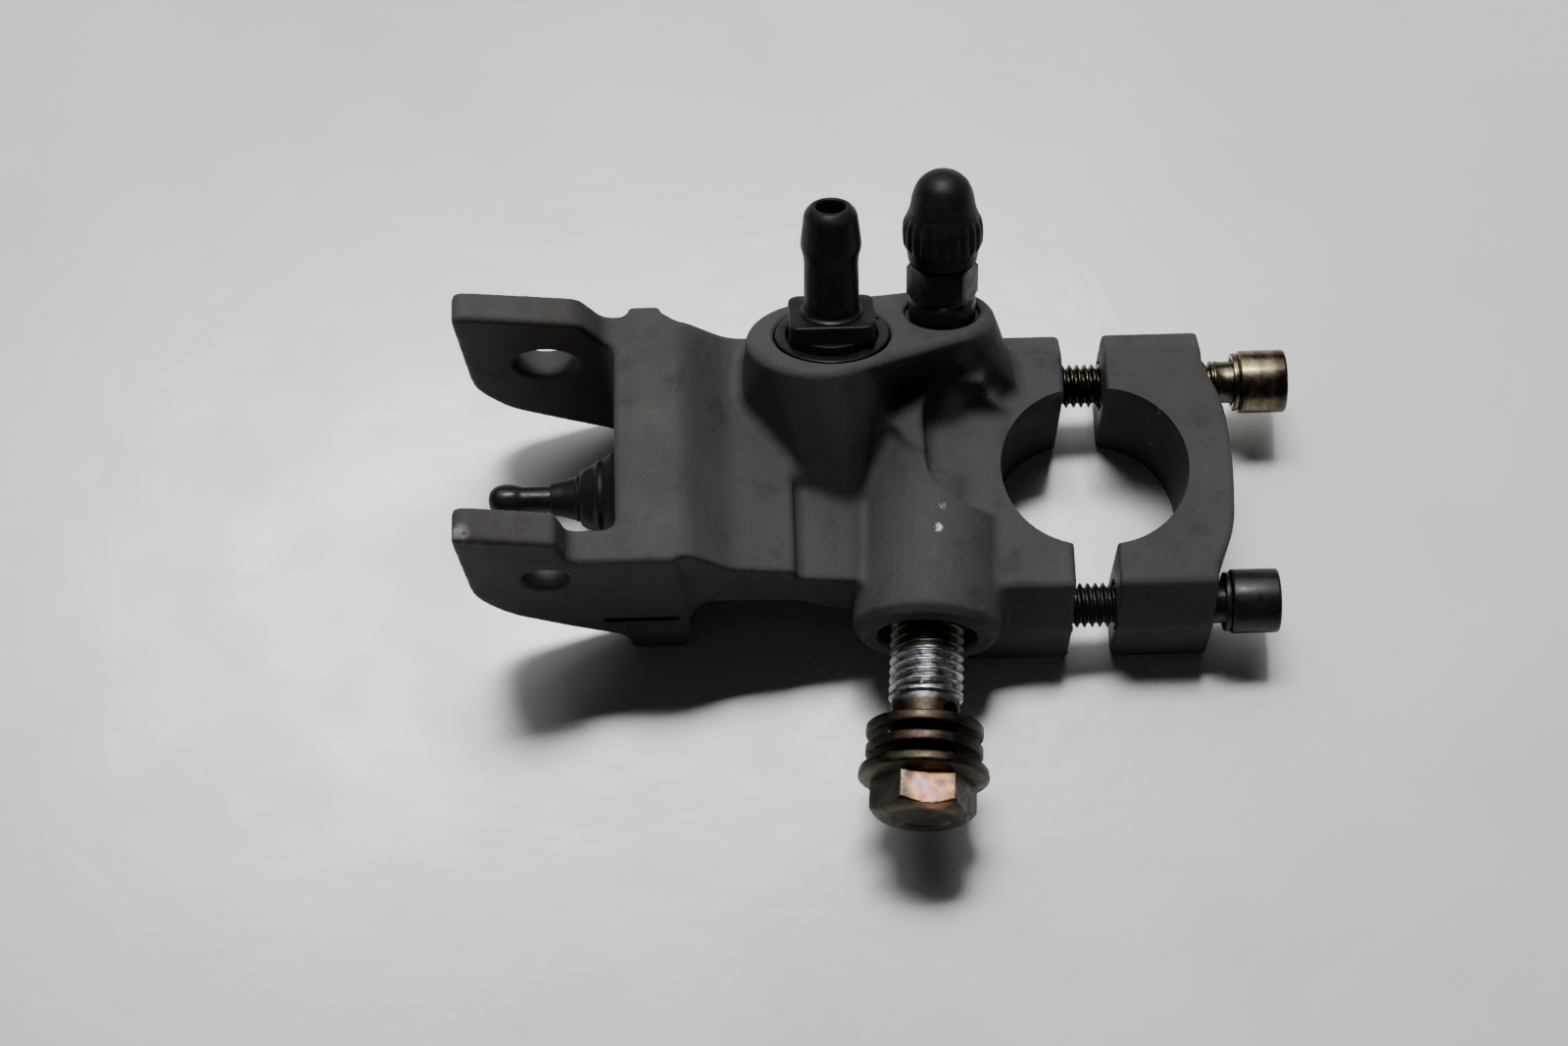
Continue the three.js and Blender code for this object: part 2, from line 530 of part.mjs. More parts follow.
addPart('piston', turned([
  [-49.6, 0], [-50.6, 2.2], [-51.4, 2.9], [-53.3, 3.6], [-53.3, 7.5], [-52.9, SLIDE_RADIUS],
  [-50.6, SLIDE_RADIUS], [-50.6, 5.8], [-47.6, 5.8], [-47.6, SLIDE_RADIUS], [-45.6, SLIDE_RADIUS],
  [-44.6, 6.2], [-38.4, 6.2], [-37.6, SLIDE_RADIUS], [-35.8, SLIDE_RADIUS], [-35.8, 5.2], [-32.4, 5.2],
  [-32.4, 6.8], [-31.2, 6.8], [-31.2, 3.4], [-28.6, 3], [-28.6, 0],
], pistonStart, PLUS_X), FINISH.anodised);

const cup = (front, back, root) => turnedGeometry([
  [back, root], [back, 7.6], [back + 0.4, 7.85], [front - 0.6, 7.85], [front, 7.7],
  [front - 0.9, root + 0.9], [front - 0.9, root], [back, root],
], pistonStart, PLUS_X);

addPart('secondary_cup', cup(-47.9, -50.3, 6.1), FINISH.blackRubber);
addPart('primary_cup', cup(-32.7, -35.5, 5.5), FINISH.blackRubber);

class CoilPath extends THREE.Curve {
  constructor(radius, from, to, turns) {
    super();
    Object.assign(this, { radius, from, to, turns });
  }

  getPoint(t, target = new THREE.Vector3()) {
    const angle = t * this.turns * 2 * Math.PI;
    const x = this.from + (this.to - this.from) * t;
    return target.set(x, BARREL_Y + Math.cos(angle) * this.radius, BARREL_Z + Math.sin(angle) * this.radius);
  }
}

function returnSpring() {
  const wire = new THREE.Shape();
  wire.absarc(0, 0, 0.6, 0, 2 * Math.PI, false);
  const path = new CoilPath(5, -30.2, -17, 5.5);
  return new THREE.ExtrudeGeometry(wire, { steps: 72, curveSegments: 3, bevelEnabled: false, extrudePath: path });
}

addPart('return_spring', solid(returnSpring()), FINISH.spring);

// ---- place the origin under the middle of the object --------------------------------------
const bounds = new THREE.Box3().setFromObject(assembly);
const middle = bounds.getCenter(vector(0, 0, 0));
assembly.position.set(-middle.x, -middle.y, -bounds.min.z);
assembly.updateMatrixWorld(true);

export default assembly;
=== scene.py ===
import json
import math

import bpy
import numpy as np
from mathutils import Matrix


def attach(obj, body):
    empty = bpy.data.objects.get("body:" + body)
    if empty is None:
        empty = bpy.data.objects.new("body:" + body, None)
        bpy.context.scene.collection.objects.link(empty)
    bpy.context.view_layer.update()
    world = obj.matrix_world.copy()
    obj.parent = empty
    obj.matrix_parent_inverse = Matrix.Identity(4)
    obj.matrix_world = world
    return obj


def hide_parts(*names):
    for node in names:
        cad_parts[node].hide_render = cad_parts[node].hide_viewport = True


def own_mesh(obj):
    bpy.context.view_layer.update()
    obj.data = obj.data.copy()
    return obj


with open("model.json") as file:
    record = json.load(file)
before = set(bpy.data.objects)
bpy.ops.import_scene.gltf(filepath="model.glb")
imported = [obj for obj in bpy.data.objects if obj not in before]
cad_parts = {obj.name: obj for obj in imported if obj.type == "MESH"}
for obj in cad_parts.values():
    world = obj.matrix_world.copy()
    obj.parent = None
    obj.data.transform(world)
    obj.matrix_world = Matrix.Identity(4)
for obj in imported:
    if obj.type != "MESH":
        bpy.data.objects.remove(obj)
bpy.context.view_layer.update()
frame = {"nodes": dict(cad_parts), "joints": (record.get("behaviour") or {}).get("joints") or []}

import openvdb
from mathutils import Matrix, Quaternion, Vector

MM = 0.001
JOINTS = {joint["name"]: joint for joint in frame["joints"]}

# ---- frames -------------------------------------------------------------------------------------
BOLT_TURN = (10, 15.9, 9.6)     # a point on the upper clamp bolt's axis, in the design frame
ORIGIN = Vector(JOINTS["upper_bolt_turn"]["pos_m"]) / MM - Vector(BOLT_TURN)


class Axis:
    """A line with a start and a direction, in the design frame."""

    def __init__(self, start, direction, turn=0.0):
        self.start = Vector(start)
        self.direction = Vector(direction).normalized()
        aim = Vector((0, 0, 1)).rotation_difference(self.direction)
        spin = Quaternion((0, 0, 1), turn)
        self.matrix = Matrix.Translation(self.start) @ (aim @ spin).to_matrix().to_4x4()

    def place(self, points):
        turn = np.array(self.matrix.to_3x3())
        return np.asarray(points, float) @ turn.T + np.array(self.start)


def joint_axis(name, back=0.0, turn=0.0, flip=False):
    """The axis of a joint, with its start moved back along it."""
    direction = Vector(JOINTS[name]["axis"]) * (-1 if flip else 1)
    start = Vector(JOINTS[name]["pos_m"]) / MM - ORIGIN - direction.normalized() * back
    return Axis(start, direction, turn)


X = Vector((1, 0, 0))
BARREL_Y = 1.0
BARREL_Z = 10.4
PISTON = Axis((0, BARREL_Y, BARREL_Z), X)               # distance along it is the design frame's x
OUTLET = joint_axis("outlet_bolt_turn", back=30, flip=True)
HOSE = joint_axis("connector_swivel", back=20)
BLEED = joint_axis("bleeder_turn", back=20)
BOLT_Z = 9.6
BOLT_Y = 15.9
BAR_RADIUS = 11.1
CLAMP_HEIGHT = 19.2
SPLIT_X = -2.1
WALL_X = -61.3
PIVOT = (-70.3, BARREL_Y, 24.4)
CAP_SHIFT = 2.55                # the loose clamp cap stands this far off the bar
CAP_SEAT = 13.9 + CAP_SHIFT
UPPER_HEAD_X = 22.3             # underside of each clamp bolt's head
LOWER_HEAD_X = 18.8
PORT_FACE = 24.5                # face of the top fittings, along their axes
OUTLET_END = 17.1               # outlet boss's end face, along its axis
FLANGE = 35                     # outlet bolt's flange, along the same axis
OUTLET_BOLT_LENGTH = 22
SEAL_HEIGHT = 19.7              # seal in the connector's groove, along its axis


# ---- mesh building ------------------------------------------------------------------------------
def soften(profile, radius, steps=3, closed=False):
    """Rounds the corners of a [distance, radius] outline. A third number in a point overrides radius."""
    points = [np.array(p[:2], float) for p in profile]
    cuts = [p[2] if len(p) > 2 else radius for p in profile]
    count = len(points)
    out = []
    for i, here in enumerate(points):
        if not closed and i in (0, count - 1):
            out.append(here)
            continue
        before = points[i - 1] - here
        after = points[(i + 1) % count] - here
        lengths = np.linalg.norm(before), np.linalg.norm(after)
        cut_back = min(cuts[i], 0.45 * lengths[0], 0.45 * lengths[1])
        if cut_back < 0.01:
            out.append(here)
            continue
        first = here + before / lengths[0] * cut_back
        last = here + after / lengths[1] * cut_back
        for step in range(steps + 1):
            t = step / steps
            out.append((1 - t) ** 2 * first + 2 * t * (1 - t) * here + t * t * last)
    return out


def rings_mesh(rings, closed=False):
    """Skins rings of equal counts. Open ends are closed with a fan round a middle point."""
    segments = len(rings[0])
    faces = []
    count = len(rings)
    for j in range(count if closed else count - 1):
        low = j * segments
        high = ((j + 1) % count) * segments
        for i in range(segments):
            after = (i + 1) % segments
            faces.append((low + i, low + after, high + after, high + i))
    all_points = np.concatenate(rings)
    if not closed:
        for ring, flipped in ((0, True), (count - 1, False)):
            middle = len(all_points)
            all_points = np.vstack([all_points, rings[ring].mean(axis=0)])
            base = ring * segments
            for i in range(segments):
                pair = (base + i, base + (i + 1) % segments)
                faces.append((middle,) + (pair[::-1] if flipped else pair))
    return all_points, faces


def revolve(profile, axis, segments=64, closed=False):
    """A turned shape. A radius may be a function of the angles, as on a thread or a hexagon."""
    angles = np.arange(segments) / segments * 2 * math.pi
    rings = []
    for distance, radius in profile:
        radii = radius(angles) if callable(radius) else np.full(segments, float(radius))
        ring = np.stack([radii * np.cos(angles), radii * np.sin(angles), np.full(segments, distance)], 1)
        rings.append(axis.place(ring))
    return rings_mesh(rings, closed)


def hexagon(across_flats, turn=0.0):
    """Radius round a hexagon, as a function of the angle."""
    sixth = math.pi / 3

    def radius(angles):
        return across_flats / 2 / np.cos((angles - turn) % sixth - sixth / 2)
    return radius


def thread(low, high, crest, depth, pitch, runout=1.0, samples=12):
    """Turned profile of a screw thread: flat roots and crests, with the ends fading out."""
    def groove(distance):
        fade = min(1.0, (distance - low) / runout, (high - distance) / runout)

        def radius(angles):
            phase = (distance / pitch - angles / (2 * math.pi)) % 1
            height = np.clip((np.abs(2 * phase - 1) - 0.2) / 0.66, 0, 1)
            return crest - depth * (1 - height) * max(0.0, fade)
        return radius
    count = int((high - low) / pitch * samples)
    distances = low + (high - low) * np.arange(count + 1) / count
    return [(d, groove(d)) for d in distances]


def sweep(path, normals, section, closed=False):
    """Skins a section along a path. Section points are (along the normal, along the binormal)."""
    count = len(path)
    rings = []
    for i in range(count):
        after = path[(i + 1) % count] if closed or i < count - 1 else path[i]
        before = path[i - 1] if closed or i > 0 else path[i]
        tangent = (after - before) / np.linalg.norm(after - before)
        binormal = np.cross(tangent, normals[i])
        binormal /= np.linalg.norm(binormal)
        normal = np.cross(binormal, tangent)
        rings.append(path[i] + np.outer(section[:, 0], normal) + np.outer(section[:, 1], binormal))
    return rings_mesh(rings, closed)


def circle_section(radius, count=12):
    angles = np.arange(count) / count * 2 * math.pi
    return np.stack([radius * np.cos(angles), radius * np.sin(angles)], 1)


def outline_prism(corners, low, high, plane="XY"):
    """An extruded outline with rounded corners [u, v, radius], drawn in the XY or XZ plane."""
    rounded = soften([tuple(c) for c in corners], 0.0, steps=6, closed=True)
    rings = []
    for level in (low, high):
        if plane == "XY":
            rings.append(np.array([(u, v, level) for u, v in rounded]))
        else:
            rings.append(np.array([(u, level, v) for u, v in rounded]))
    return rings_mesh(rings)


def new_object(name, points, faces):
    """A mesh object in the row frame, in metres, with its faces turned outwards."""
    mesh = bpy.data.meshes.new(name)
    world = (np.asarray(points, float) + np.array(ORIGIN)) * MM
    mesh.from_pydata(world.tolist(), [], [tuple(int(i) for i in face) for face in faces])
    mesh.update()
    if signed_volume(mesh) < 0:
        mesh.flip_normals()
    piece = bpy.data.objects.new(name, mesh)
    bpy.context.scene.collection.objects.link(piece)
    return piece


def signed_volume(mesh):
    mesh.calc_loop_triangles()
    corners = np.zeros(len(mesh.loop_triangles) * 3, np.int32)
    mesh.loop_triangles.foreach_get("vertices", corners)
    points = mesh_points(mesh)[corners].reshape(-1, 3, 3)
    return float(np.einsum("ij,ij->i", points[:, 0], np.cross(points[:, 1], points[:, 2])).sum() / 6)


def mesh_points(mesh):
    points = np.zeros(len(mesh.vertices) * 3)
    mesh.vertices.foreach_get("co", points)
    return points.reshape(-1, 3)


def boolean(piece, tools, operation="DIFFERENCE"):
    """Cuts or joins closed meshes, and removes the tools."""
    for tool in tools:
        step = piece.modifiers.new("boolean", "BOOLEAN")
        step.operation = operation
        step.solver = "MANIFOLD"
        step.object = tool
    apply_modifiers(piece)
    for tool in tools:
        bpy.data.objects.remove(tool)
    return piece


def apply_modifiers(piece):
    bpy.context.view_layer.update()
    done = bpy.data.meshes.new_from_object(piece.evaluated_get(bpy.context.evaluated_depsgraph_get()))
    piece.modifiers.clear()
    piece.data = done


def finish_piece(piece, body, material, slot, *nodes, sharp=35):
    """Shades a piece, gives it its material, and puts it on its body in place of its CAD nodes."""
    piece.data.shade_smooth()
    piece.data.set_sharp_from_angle(angle=math.radians(sharp))
    piece.data.materials.clear()
    piece.data.materials.append(material)
    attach(piece, body)
    if nodes:
        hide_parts(*nodes)
    return piece


# ---- cast shapes: rounded by growing and shrinking a distance field -----------------------------
def offset_surface(points, triangles, quads, voxel, distance, reach):
    transform = openvdb.createLinearTransform(voxelSize=voxel)
    grid = openvdb.FloatGrid.createLevelSetFromPolygons(
        points, triangles=triangles, quads=quads, transform=transform, halfWidth=reach / voxel + 2)
    return grid.convertToPolygons(isovalue=distance)


def cast_shape(shapes, voxel, fillet, edge):
    """Joins closed shapes, fills their inner corners to the fillet radius and rounds their edges."""
    points = []
    triangles = []
    base = 0
    for shape_points, shape_faces in shapes:
        points.append(np.asarray(shape_points, float))
        for face in shape_faces:
            for i in range(1, len(face) - 1):
                triangles.append((base + face[0], base + face[i], base + face[i + 1]))
        base += len(shape_points)
    no_quads = np.zeros((0, 4), np.uint32)
    surface = (np.concatenate(points).astype(np.float32), np.array(triangles, np.uint32), no_quads)
    for distance in (fillet, -fillet - edge, edge):
        vertices, corners, quads = offset_surface(*surface, voxel, distance, abs(distance))
        surface = (vertices.astype(np.float32), corners.astype(np.uint32), quads.astype(np.uint32))
    vertices, corners, quads = surface
    vertices = np.maximum(vertices, (-np.inf, -np.inf, 0.0))      # nothing goes below the table
    return vertices, [tuple(f) for f in corners.tolist()] + [tuple(f) for f in quads.tolist()]


def node_shape(name):
    """A CAD node's mesh in the design frame, in millimetres, with its shared corners merged."""
    mesh = frame["nodes"][name].data
    points = mesh_points(mesh) / MM - np.array(ORIGIN)
    keys, inverse = np.unique(np.round(points, 4), axis=0, return_inverse=True)
    inverse = inverse.ravel()
    faces = [tuple(int(inverse[v]) for v in polygon.vertices) for polygon in mesh.polygons]
    return keys, faces


def block(low, high):
    corners = [(low[0], low[1], 0), (high[0], low[1], 0), (high[0], high[1], 0), (low[0], high[1], 0)]
    return outline_prism(corners, low[2], high[2])


def cylinder(radius, low, high, axis, segments=64):
    return revolve([(low, radius), (high, radius)], axis, segments)


def cutter(shape):
    return new_object("cutter", *shape)


def body_casting():
    fillers = [
        cylinder(6.8, -3.5, OUTLET_END, OUTLET),
        cylinder(8.4, WALL_X, -15, PISTON),
        cylinder(8.0, 6, PORT_FACE, HOSE),
        cylinder(5.3, 10, PORT_FACE, BLEED),
        block((-15, -11.6, 0), (SPLIT_X, 11.6, CLAMP_HEIGHT)),
    ]
    for y in (-BOLT_Y, BOLT_Y):
        fillers.append(cylinder(3.5, -15, SPLIT_X, Axis((0, y, BOLT_Z), X)))
    piece = new_object("cast_body", *cast_shape([node_shape("master_body")] + fillers, 0.27, 1.1, 0.4))
    bar = Axis((0, 0, 0), (0, 0, 1))
    tools = [
        cylinder(BAR_RADIUS, -2, 30, bar, 128),
        revolve([(WALL_X - 1, 9.6), (WALL_X + 0.4, 9.1), (-57.8, 9.1), (-57.8, 8.0), (-56.8, 8.0),
                 (-56.8, 8.9), (-55.4, 8.9), (-55.4, 8.0), (-16, 8.0)], PISTON, 72),
        revolve([(-3, 1.5), (5.4, 1.5), (6.6, 5.15), (OUTLET_END - 3.4, 5.15), (OUTLET_END - 2.6, 6.1),
                 (OUTLET_END - 0.4, 6.3), (OUTLET_END + 1, 7.6)], OUTLET, 72),
        revolve([(6.5, 1.5), (17, 1.5), (17, 5.3), (22.3, 5.3), (22.3, 7.7), (PORT_FACE - 0.3, 7.7),
                 (PORT_FACE + 1, 8.9)], HOSE, 72),
        revolve([(1, 1.2), (14, 1.2), (16, 3.6), (PORT_FACE - 1.6, 3.6), (PORT_FACE - 0.9, 5.0),
                 (PORT_FACE - 0.2, 5.0), (PORT_FACE + 1, 6.1)], BLEED, 72),
        cylinder(3.95, 12, 20, Axis(PIVOT, (0, 1, 0)), 48),
        cylinder(3.1, 12, 20, Axis(PIVOT, (0, -1, 0)), 48),
        outline_prism([(-63.8, 8.8, 0.7), (-53.6, 8.8, 0.7), (-53.6, 10.3, 0.7), (-63.8, 10.3, 0.7)],
                      BARREL_Y - 18.6, BARREL_Y - 16.2, "XZ"),
    ]
    for y in (-BOLT_Y, BOLT_Y):
        tools.append(revolve([(-14.4, 0.1), (-13.5, 3.2), (SPLIT_X - 0.3, 3.2), (SPLIT_X + 0.7, 4.2)],
                             Axis((0, y, BOLT_Z), X), 48))
    return boolean(piece, [cutter(tool) for tool in tools])


def cap_casting():
    fillers = [block((3.6, -11.6, 0.0), (CAP_SEAT, 11.6, CLAMP_HEIGHT))]
    for y in (-BOLT_Y, BOLT_Y):
        fillers.append(cylinder(3.7, 3.6, CAP_SEAT, Axis((0, y, BOLT_Z), X)))
    piece = new_object("cap_casting", *cast_shape([node_shape("clamp_cap")] + fillers, 0.25, 0.8, 0.3))
    tools = [cylinder(BAR_RADIUS, -2, 22, Axis((CAP_SHIFT, 0, 0), (0, 0, 1)), 128)]
    for y in (-BOLT_Y, BOLT_Y):
        tools.append(revolve([(0, 3.4), (CAP_SEAT - 0.4, 3.4), (CAP_SEAT + 0.4, 4.2)],
                             Axis((0, y, BOLT_Z), X), 48))
        tools.append(cylinder(4.7, CAP_SEAT, 24, Axis((0, y, BOLT_Z), X), 48))
    return boolean(piece, [cutter(tool) for tool in tools])


# ---- materials ----------------------------------------------------------------------------------
class Look:
    """A material's node tree, with short calls for the nodes that this scene uses."""

    def __init__(self, name):
        self.material = bpy.data.materials.new(name)
        self.material.use_nodes = True
        self.tree = self.material.node_tree
        self.shader = self.tree.nodes["Principled BSDF"]
        self.position = self.tree.nodes.new("ShaderNodeTexCoord").outputs["Object"]

    def set(self, **values):
        for name, value in values.items():
            self.feed(self.shader.inputs[name.replace("_", " ")], value)

    def feed(self, socket, value):
        if isinstance(value, bpy.types.NodeSocket):
            self.tree.links.new(value, socket)
        elif isinstance(value, (tuple, list)) and socket.type == "RGBA":
            socket.default_value = (*value[:3], 1)
        else:
            socket.default_value = value

    def noise(self, size_mm, detail=3.0, roughness=0.5, stretch=None):
        """Noise with features of about size_mm. stretch scales the pattern along each axis."""
        node = self.tree.nodes.new("ShaderNodeTexNoise")
        vector = self.position
        if stretch:
            mapping = self.tree.nodes.new("ShaderNodeMapping")
            mapping.inputs["Scale"].default_value = stretch
            self.feed(mapping.inputs["Vector"], self.position)
            vector = mapping.outputs["Vector"]
        self.feed(node.inputs["Vector"], vector)
        node.inputs["Scale"].default_value = 1 / (size_mm * MM)
        node.inputs["Detail"].default_value = detail
        node.inputs["Roughness"].default_value = roughness
        return node.outputs["Fac"]

    def ramp(self, value, low, high, start=0.0, end=1.0):
        node = self.tree.nodes.new("ShaderNodeMapRange")
        node.interpolation_type = "SMOOTHSTEP"
        self.feed(node.inputs["Value"], value)
        for socket, number in zip(("From Min", "From Max", "To Min", "To Max"), (low, high, start, end)):
            node.inputs[socket].default_value = number
        return node.outputs["Result"]

    def math(self, operation, *values):
        node = self.tree.nodes.new("ShaderNodeMath")
        node.operation = operation
        for socket, value in zip(node.inputs, values):
            self.feed(socket, value)
        return node.outputs["Value"]

    def mix(self, factor, first, second):
        node = self.tree.nodes.new("ShaderNodeMix")
        node.data_type = "RGBA"
        self.feed(node.inputs["Factor"], factor)
        self.feed(node.inputs[6], first)
        self.feed(node.inputs[7], second)
        return node.outputs[2]

    def near(self, point, radius_mm, soft_mm):
        """1 near a point of the design frame, fading to 0."""
        node = self.tree.nodes.new("ShaderNodeVectorMath")
        node.operation = "DISTANCE"
        self.feed(node.inputs[0], self.position)
        node.inputs[1].default_value = (Vector(point) + ORIGIN) * MM
        return self.ramp(node.outputs["Value"], (radius_mm + soft_mm) * MM, radius_mm * MM)

    def edges(self, low, high):
        """1 on worn outer edges."""
        pointiness = self.tree.nodes.new("ShaderNodeNewGeometry").outputs["Pointiness"]
        return self.ramp(pointiness, low, high)

    def part_of(self, component, low_mm, high_mm):
        """0 to 1 as a design-frame coordinate goes from low to high."""
        split = self.tree.nodes.new("ShaderNodeSeparateXYZ")
        self.feed(split.inputs[0], self.position)
        offset = ORIGIN["XYZ".index(component)]
        return self.ramp(split.outputs[component], (low_mm + offset) * MM, (high_mm + offset) * MM)

    def bump(self, height, strength, distance_mm, under=None):
        node = self.tree.nodes.new("ShaderNodeBump")
        self.feed(node.inputs["Height"], height)
        node.inputs["Strength"].default_value = strength
        node.inputs["Distance"].default_value = distance_mm * MM
        if under is not None:
            self.feed(node.inputs["Normal"], under)
        return node.outputs["Normal"]


def paint_look(name, base, lift, stains_and_glints):
    """Satin paint over cast aluminium, with fine speckle, grime and worn edges."""
    look = Look(name)
    blotch = look.ramp(look.noise(14, 4), 0.35, 0.65)
    speckle = look.noise(0.4, 2, 0.6)
    darker = tuple(c * 0.84 for c in base)
    colour = look.mix(blotch, darker, base)
    colour = look.mix(look.ramp(speckle, 0.52, 0.75, 0, 0.3), colour, lift)
    grime = look.math("MULTIPLY", look.ramp(look.noise(5, 5, 0.65), 0.52, 0.7), 0.3)
    colour = look.mix(grime, colour, (0.018, 0.017, 0.016))
    # Listed stains and scuffs, and painted highlight spots where a glint is listed
    for tint, point, radius, soft, amount in stains_and_glints:
        broken = look.ramp(look.noise(1.6, 4, 0.7), 0.4, 0.6)
        patch = look.math("MULTIPLY", look.near(point, radius, soft), broken)
        colour = look.mix(look.math("MULTIPLY", patch, amount), colour, tint)
    chips = look.math("MULTIPLY", look.edges(0.56, 0.66), look.ramp(look.noise(2.2, 5, 0.7), 0.52, 0.66))
    chips = look.math("MULTIPLY", chips, 0.7)
    colour = look.mix(chips, colour, (0.16, 0.155, 0.15))
    look.set(Base_Color=colour)
    look.set(Metallic=look.math("MULTIPLY", chips, 0.8))
    look.set(Roughness=look.ramp(look.noise(3.5, 4), 0.3, 0.7, 0.44, 0.58))
    look.set(Specular_IOR_Level=0.05)
    grain = look.bump(look.noise(0.45, 3, 0.6), 0.3, 0.05)
    waves = look.bump(look.noise(6, 2), 0.25, 0.25, grain)
    look.set(Normal=look.bump(chips, -0.4, 0.08, waves))
    return look.material


def metal_look(name, base, dull, roughness, metallic=1.0, patch_mm=2.5, scratch=(1, 1, 12), extra=None):
    """Plated or oiled metal: tone patches, fine lengthwise scratches and brighter edges."""
    look = Look(name)
    patches = look.ramp(look.noise(patch_mm, 5, 0.65), 0.35, 0.68)
    colour = look.mix(patches, base, dull)
    if extra:
        colour = extra(look, colour)
    edge = look.edges(0.54, 0.64)
    colour = look.mix(look.math("MULTIPLY", edge, 0.45), colour, tuple(min(1, c * 2.4) for c in base))
    look.set(Base_Color=colour, Metallic=metallic)
    look.set(Roughness=look.ramp(look.noise(1.1, 4), 0.3, 0.7, roughness * 0.75, roughness * 1.25))
    fine = look.bump(look.noise(0.5, 3, 0.6, stretch=scratch), 0.25, 0.03)
    look.set(Normal=look.bump(look.noise(0.25, 2), 0.15, 0.02, fine))
    return look.material


def moulded_look(name, base, roughness, grain_mm, grain_depth, dust):
    """Moulded rubber or plastic, with fine grain, rubbed patches and a little dust."""
    look = Look(name)
    rubbed = look.ramp(look.noise(3, 4, 0.6), 0.42, 0.7)
    colour = look.mix(look.math("MULTIPLY", rubbed, 0.5), base, tuple(c * 2.1 for c in base))
    dusty = look.math("MULTIPLY", look.ramp(look.noise(0.6, 5, 0.75), 0.62, 0.75), dust)
    colour = look.mix(dusty, colour, (0.16, 0.15, 0.14))
    look.set(Base_Color=colour)
    look.set(Roughness=look.ramp(look.noise(2, 4), 0.3, 0.7, roughness * 0.85, roughness * 1.12))
    look.set(Specular_IOR_Level=0.2)
    look.set(Normal=look.bump(look.noise(grain_mm, 3, 0.6), 0.35, grain_depth))
    return look.material


def iridescent(look, colour):
    """Olive plate that turns gold and pink on the hexagon's upper facet."""
    tints = look.tree.nodes.new("ShaderNodeValToRGB")
    look.feed(tints.inputs["Fac"], look.noise(3.2, 2, 0.5))
    stops = ((0.3, (0.12, 0.1, 0.085)), (0.42, (0.22, 0.14, 0.13)), (0.5, (0.5, 0.26, 0.1)),
             (0.57, (0.46, 0.2, 0.17)), (0.68, (0.3, 0.24, 0.24)))
    ramp = tints.color_ramp
    while len(ramp.elements) < len(stops):
        ramp.elements.new(0.5)
    for element, (place, tint) in zip(ramp.elements, stops):
        element.position = place
        element.color = (*tint, 1)
    facet = OUTLET.place([(0, 0, 39.4)])[0] + np.array((0.9, 0, 5.9))
    amount = look.math("MULTIPLY", look.near(facet, 2.2, 1.4), 0.9)
    return look.mix(amount, colour, tints.outputs["Color"])


def shiny_thread_with_mouth_shade(look, colour):
    """Bright plating on the crests of the outlet bolt's thread, in a band clear of the boss; the thread
    nearer the boss mouth keeps the dark olive as painted shade from the boss.
    """
    middle = OUTLET.place([(0, 0, 23.2)])[0]
    streaks = look.ramp(look.noise(1.3, 4, 0.7), 0.36, 0.56, 0.3, 1)
    # Crests are bright only in a band round the middle of the bare thread; nearer the boss mouth they
    # stay dark as painted shade
    bare_clear_of_shade = look.math("MULTIPLY", look.near(middle, 5.2, 0.7), streaks)
    bare_clear_of_shade = look.math("MULTIPLY", bare_clear_of_shade, look.edges(0.42, 0.53))
    return look.mix(bare_clear_of_shade, iridescent(look, colour), (0.46, 0.46, 0.5))


def dark_shank(look, colour):
    """Thread darker below x 15.5, and a plated head with dull bands along it and a darker end."""
    toned_head = look.mix(look.part_of("X", 26.2, 27.6), colour, (0.07, 0.056, 0.04))
    bands = look.ramp(look.noise(1.5, 2, 0.5, stretch=(1, 0.08, 0.08)), 0.42, 0.62)
    toned_head = look.mix(bands, toned_head, (0.12, 0.098, 0.07))
    return look.mix(look.part_of("X", 15.5, 18), (0.045, 0.036, 0.026), toned_head)


# Stains and scuffs on the body's paint; the last two rows are a painted highlight: the glint on the
# outlet boss's crest and a smaller one beside it
BODY_STAINS_AND_GLINT = (
    ((0.11, 0.095, 0.045), (-57.5, 4.5, 29.8), 0.6, 2.0, 0.5),
    ((0.045, 0.041, 0.038), (-59.2, 5.5, 29.8), 0.8, 2.6, 0.6),
    ((0.13, 0.11, 0.04), (-15.5, -20.5, 17), 1.2, 2.6, 0.6),
    ((0.4, 0.39, 0.38), (-80.3, -15.2, 38.2), 0.5, 1.3, 0.85),
    ((0.36, 0.35, 0.34), (-78, -15.8, 37), 0.2, 0.9, 0.8),
    ((0.06, 0.047, 0.038), (-75, -15, 38), 3.5, 4.5, 0.6),
    ((0.075, 0.042, 0.022), (-70, 14, 31), 3.5, 4.5, 0.8),
    # painted highlight: glint on the outlet boss's crest, then a smaller one beside it
    ((0.8, 0.8, 0.8), (-20.0, -10.0, 23.8), 0.3, 0.5, 1.0),
    ((0.5, 0.5, 0.5), (-19.2, -7.0, 23.8), 0.1, 0.6, 0.8),
)

